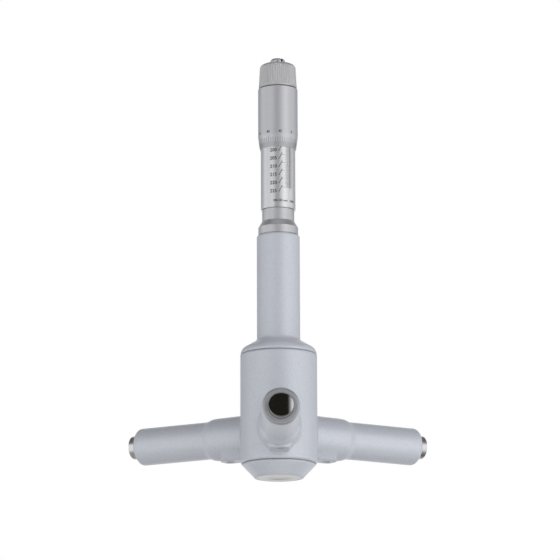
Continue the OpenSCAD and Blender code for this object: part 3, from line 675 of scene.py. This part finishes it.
# %% Hardened steel
def ground_steel(name, light, dark, roughness, scratch, corner_shade_depth=0.0, face=0.0):
    """Ground steel, scratched, with painted shade in corners of a depth in mm and faces lapped to a
    roughness.
    """
    material, tree, shader = principled(name, Metallic=1.0)
    place = add(tree, "ShaderNodeTexCoord").outputs["Object"]
    # Grinding marks are 0.02 mm wide: drawn at 0.3 mm, the finest that the picture can hold.
    marks = add(
        tree, "ShaderNodeTexNoise", values={"Scale": per_metre(0.3), "Detail": 4.0, "Roughness": 0.65},
        links={"Vector": place},
    )
    tint = add(tree, "ShaderNodeValToRGB", links={"Fac": marks.outputs[0]})
    for stop, position, tone in zip(tint.color_ramp.elements, (0.3, 0.7), (dark, light)):
        stop.position, stop.color = position, linear(tone)
    satin = add(
        tree, "ShaderNodeMapRange", values={"To Min": 0.7 * roughness, "To Max": 1.3 * roughness},
        links={"Value": marks.outputs[0]},
    )
    colour, dull = tint.outputs[0], satin.outputs[0]
    if corner_shade_depth:
        colour = painted_corner_shade(tree, colour, corner_shade_depth)
    if face:
        colour, dull = lap(tree, colour, dull, face)
    tree.links.new(colour, shader.inputs["Base Color"])
    tree.links.new(dull, shader.inputs["Roughness"])
    relief = add(
        tree, "ShaderNodeBump", values={"Strength": scratch, "Distance": 0.01 * MM},
        links={"Height": marks.outputs[0]},
    )
    tree.links.new(relief.outputs[0], shader.inputs["Normal"])
    return material


# Painted shade darkens the contacts near the arm ends, and the screws in their slots and corners.
lapped = ground_steel("lapped_steel", "#DEDEE1", "#D0D0D3", 0.3, 0.02, corner_shade_depth=2.6, face=0.06)
ground = ground_steel("ground_steel", "#B4B6B9", "#A2A4A8", 0.26, 0.12)
screws = ground_steel("machined_screw_steel", "#CDCED0", "#B8BABD", 0.4, 0.2, corner_shade_depth=2.0)
dress(lapped, "anvil_front", "anvil_right", "anvil_left", "thrust_ball")
dress(ground, "measuring_cone", "push_rod", "spindle", "drive_crown", "ratchet_crown", "adjusting_nut")
dress(screws, "guide_screw_front", "guide_screw_right", "guide_screw_left", "ratchet_screw")

# %% [markdown]
# ## Bronze bush
#
# A flanged bush of bearing bronze guides the push rod. It is turned and a little oily: warm yellow-brown,
# with the same lathe rings as the chrome, so the same recipe is used with other colours.

# %% Bearing bronze
bronze = turned_chrome("bearing_bronze", "#C79A5B", "#B0834A", 0.32)
dress(bronze, "rod_bush")

# %% [markdown]
# ## Springs
#
# Three return springs sit in the arms, one lifts the push rod and one presses the ratchet. Each is round
# wire wound on a mandrel with closed end turns. The solids stand for them with coarse wire. Here a round
# section is swept along the helix, point by point.


# %% Wind the springs
wire = ground_steel("drawn_spring_wire", "#8E9094", "#74767A", 0.3, 0.15)


def coil(coil_d, wire_d, turns, length):
    """Points and faces of a closed-ended coil of round wire on Z = 0: takes mm and gives metres."""
    around, along = 14, 40
    end_pitch = 1.2 * wire_d
    rise = length - wire_d
    middle = (rise - 2 * end_pitch) / (turns - 2)

    def height(wound):
        """Height of the wire after some turns."""
        if wound < 1:
            return wound * end_pitch
        if wound > turns - 1:
            return rise - (turns - wound) * end_pitch
        return end_pitch + (wound - 1) * middle

    points, faces = [], []
    for k in range(turns * along + 1):
        turn = 2 * math.pi * k / along
        for j in range(around):
            a = 2 * math.pi * j / around
            r = coil_d / 2 + wire_d / 2 * math.cos(a)
            z = wire_d / 2 * (1 + math.sin(a)) + height(k / along)
            points.append((r * math.cos(turn) * MM, r * math.sin(turn) * MM, z * MM))
    for k in range(turns * along):
        for j in range(around):
            a, b = k * around + j, k * around + (j + 1) % around
            faces.append((a, b, b + around, a + around))
    faces.append(tuple(reversed(range(around))))
    faces.append(tuple(range(turns * along * around, (turns * along + 1) * around)))
    return points, faces


def spring(node, body, across, wire_d, turns, length, placed):
    """Winds a spring as wide as its solid, puts it there, and hides the solid."""
    points, faces = coil(across / MM - wire_d, wire_d, turns, length)
    piece = shape("wound_" + node, points, faces, wire)
    piece.data.shade_smooth()
    piece.data.transform(placed)
    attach(piece, body)
    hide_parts(node)
    print(piece.name, len(faces), "faces")
    return piece


# %% Rod spring
TRAVEL = 25.0
low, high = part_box("rod_spring")
rod_length = (high.z - low.z) / MM
standing = Matrix.Translation((0, 0, low.z))
rod = spring("rod_spring", "frame", high.x - low.x, 1.2, 8, rod_length, standing)
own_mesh(rod)

# %% Contact springs
low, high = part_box("anvil_spring_front")
SPRING_FROM, SPRING_TO = -high.y / MM, -low.y / MM
SPRING_ACROSS = high.z - low.z
for arm, degrees in ARMS.items():
    out = arm_axis(arm)
    placed = (
        Matrix.Translation(Vector((0, 0, ARM_HEIGHT)) + out * SPRING_FROM * MM)
        @ Matrix.Rotation(math.radians(degrees), 4, "Z")
        @ Matrix.Rotation(math.radians(90), 4, "Y")
    )
    length = SPRING_TO - SPRING_FROM
    piece = spring("anvil_spring_" + arm, "frame", SPRING_ACROSS, 0.9, 9, length, placed)
    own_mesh(piece)

# %% Ratchet spring
low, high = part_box("ratchet_spring")
standing = Matrix.Translation((0, 0, low.z))
spring("ratchet_spring", "ratchet_unit", high.x - low.x, 0.9, 3, (high.z - low.z) / MM, standing)

# %% [markdown]
# ## The scales
#
# The sleeve carries an upright datum line, a line for every turn of the screw, and a number every 5 mm,
# each with a slanted leader to its line. Its range and its step stand below. The bevel of the thimble
# carries 100 divisions. On the real one all this is engraved and filled with black paint. Here the marks
# are thin inlays that hug the turned surface, just proud of it, so that they are crisp at any distance. The
# lines are drawn a little wider than real ones, to show.

# %% Ink
ink, tree, shader = principled("black_filling_paint", IOR=1.5)
place = add(tree, "ShaderNodeTexCoord").outputs["Object"]
patches = add(
    tree, "ShaderNodeTexNoise", values={"Scale": per_metre(0.4), "Detail": 2.0}, links={"Vector": place}
)
tint = add(tree, "ShaderNodeValToRGB", links={"Fac": patches.outputs[0]})
for stop, tone in zip(tint.color_ramp.elements, ("#16171A", "#2C2D31")):
    stop.color = linear(tone)
tree.links.new(tint.outputs[0], shader.inputs["Base Color"])
dull = add(
    tree, "ShaderNodeMapRange", values={"To Min": 0.45, "To Max": 0.65},
    links={"Value": patches.outputs[0]},
)
tree.links.new(dull.outputs[0], shader.inputs["Roughness"])
print("ink", ink.name)

# %% Marks on a turned surface
PROUD = 0.03
DATUM = 41.7
SLEEVE_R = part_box("sleeve")[1].x / MM
low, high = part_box("thimble")
thimble_low = low.z / MM
EDGE_R, BODY_R = 10.75, high.x / MM
BEVEL = 7.6


def sleeve_radius(z):
    """Radius of the sleeve at a height, in mm."""
    return SLEEVE_R


def thimble_radius(z):
    """Radius of the thimble at a height, in mm: a bevel and then the straight body."""
    return EDGE_R + (BODY_R - EDGE_R) * min(1, (z - thimble_low) / BEVEL)


def inlay(name, body, patches, radius):
    """Joins patches of (bearing, height) points and faces into one inlay on a turned surface."""
    points, faces = [], []
    for corners, polygons in patches:
        first = len(points)
        for bearing, z in corners:
            points.append(bearing_point(bearing, (radius(z) + PROUD) * MM, z * MM))
        faces.extend(tuple(first + i for i in polygon) for polygon in polygons)
    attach(shape(name, points, faces, ink), body)
    print(name, len(faces), "faces")


def line(start, end, width, radius):
    """A straight line of some width between two (bearing, height) points, cut into short steps."""
    arc, longest = math.degrees(1 / radius), 3
    run = Vector(((end[0] - start[0]) / arc, end[1] - start[1]))
    steps = max(1, math.ceil(abs(end[0] - start[0]) / longest))
    across = Vector((-run.y, run.x)).normalized() * width / 2
    corners = []
    for i in range(steps + 1):
        middle = Vector((start[0] / arc, start[1])) + run * i / steps
        for edge in (middle - across, middle + across):
            corners.append((edge.x * arc, edge.y))
    return corners, [(2 * i, 2 * i + 2, 2 * i + 3, 2 * i + 1) for i in range(steps)]


print("sleeve", round(SLEEVE_R, 2), "mm and thimble", round(BODY_R, 2), "mm in radius")

# %% Numbers from the built-in font
CAP_HEIGHT = 0.73  # of the font's size


def figures(words, height, bearing, z, radius, bold):
    """Digits of a cap height in mm, their strokes widened, centred on a (bearing, height) point."""
    curve = bpy.data.curves.new("digits", "FONT")
    curve.body = words
    curve.size = height / CAP_HEIGHT
    curve.offset = bold
    curve.align_x, curve.align_y = "CENTER", "CENTER"
    curve.resolution_u = 3
    letters = bpy.data.objects.new("digits", curve)
    scene.collection.objects.link(letters)
    mesh = bpy.data.meshes.new_from_object(letters.evaluated_get(bpy.context.evaluated_depsgraph_get()))
    arc = math.degrees(1 / radius)
    corners = [(bearing + v.co.x * arc, z + v.co.y) for v in mesh.vertices]
    polygons = [tuple(p.vertices) for p in mesh.polygons]
    bpy.data.objects.remove(letters)
    bpy.data.curves.remove(curve)
    bpy.data.meshes.remove(mesh)
    return corners, polygons


# %% Engrave the sleeve
LINE, DATUM_LINE, LEADER_LINE = 0.15, 0.26, 0.34
PITCH = 0.5
ROWS, ROW_STEP, LOWEST = 6, 5, 200
NUMBER_BEARING, NUMBER_DROP, LABEL_DROP = -16.5, 2.3, 33.1
marks = [line((DATUM, thimble_low + 1.2), (DATUM, thimble_low - TRAVEL - 1), DATUM_LINE, SLEEVE_R)]
for i in range(round(TRAVEL / PITCH) + 1):
    z = thimble_low - PITCH * i
    start = DATUM - (30 if i % 10 == 0 else 20 if i % 2 == 0 else 14)
    marks.append(line((start, z), (DATUM + 9, z), LINE, SLEEVE_R))
for row in range(ROWS):
    z = thimble_low - ROW_STEP * row - NUMBER_DROP
    marks.append(figures(str(LOWEST + ROW_STEP * row), 2.1, NUMBER_BEARING, z, SLEEVE_R, 0.06))
    marks.append(line((1.5, z - 0.6), (13.5, z + 3.4), LEADER_LINE, SLEEVE_R))
for words, bearing in (("200-225 mm", 7), ("0.005", 52)):
    marks.append(figures(words, 1.25, bearing, thimble_low - LABEL_DROP, SLEEVE_R, 0.05))
inlay("sleeve_scale", "frame", marks, sleeve_radius)

# %% Engrave the thimble
DIVISIONS, NUMBERS = 100, 10
NUMBER_RISE = 8.9
marks = []
for i in range(DIVISIONS):
    bearing = DATUM + 360 / DIVISIONS * i
    top = 6.2 if i % 10 == 0 else 5.4 if i % 2 == 0 else 3.0
    marks.append(line((bearing, thimble_low + 0.1), (bearing, thimble_low + top), LINE, BODY_R))
for i in range(NUMBERS):
    bearing = DATUM + 360 / NUMBERS * i
    marks.append(figures(str(5 * i), 1.6, bearing, thimble_low + NUMBER_RISE, BODY_R, 0.03))
inlay("thimble_scale", "thimble_unit", marks, thimble_radius)

# %% [markdown]
# ## Size
#
# The box round the dressed model is printed in millimetres.

# %% Print the box of the dressed model
low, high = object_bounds()
print("visual box in mm", [round((b - a) / MM, 1) for a, b in zip(low, high)])
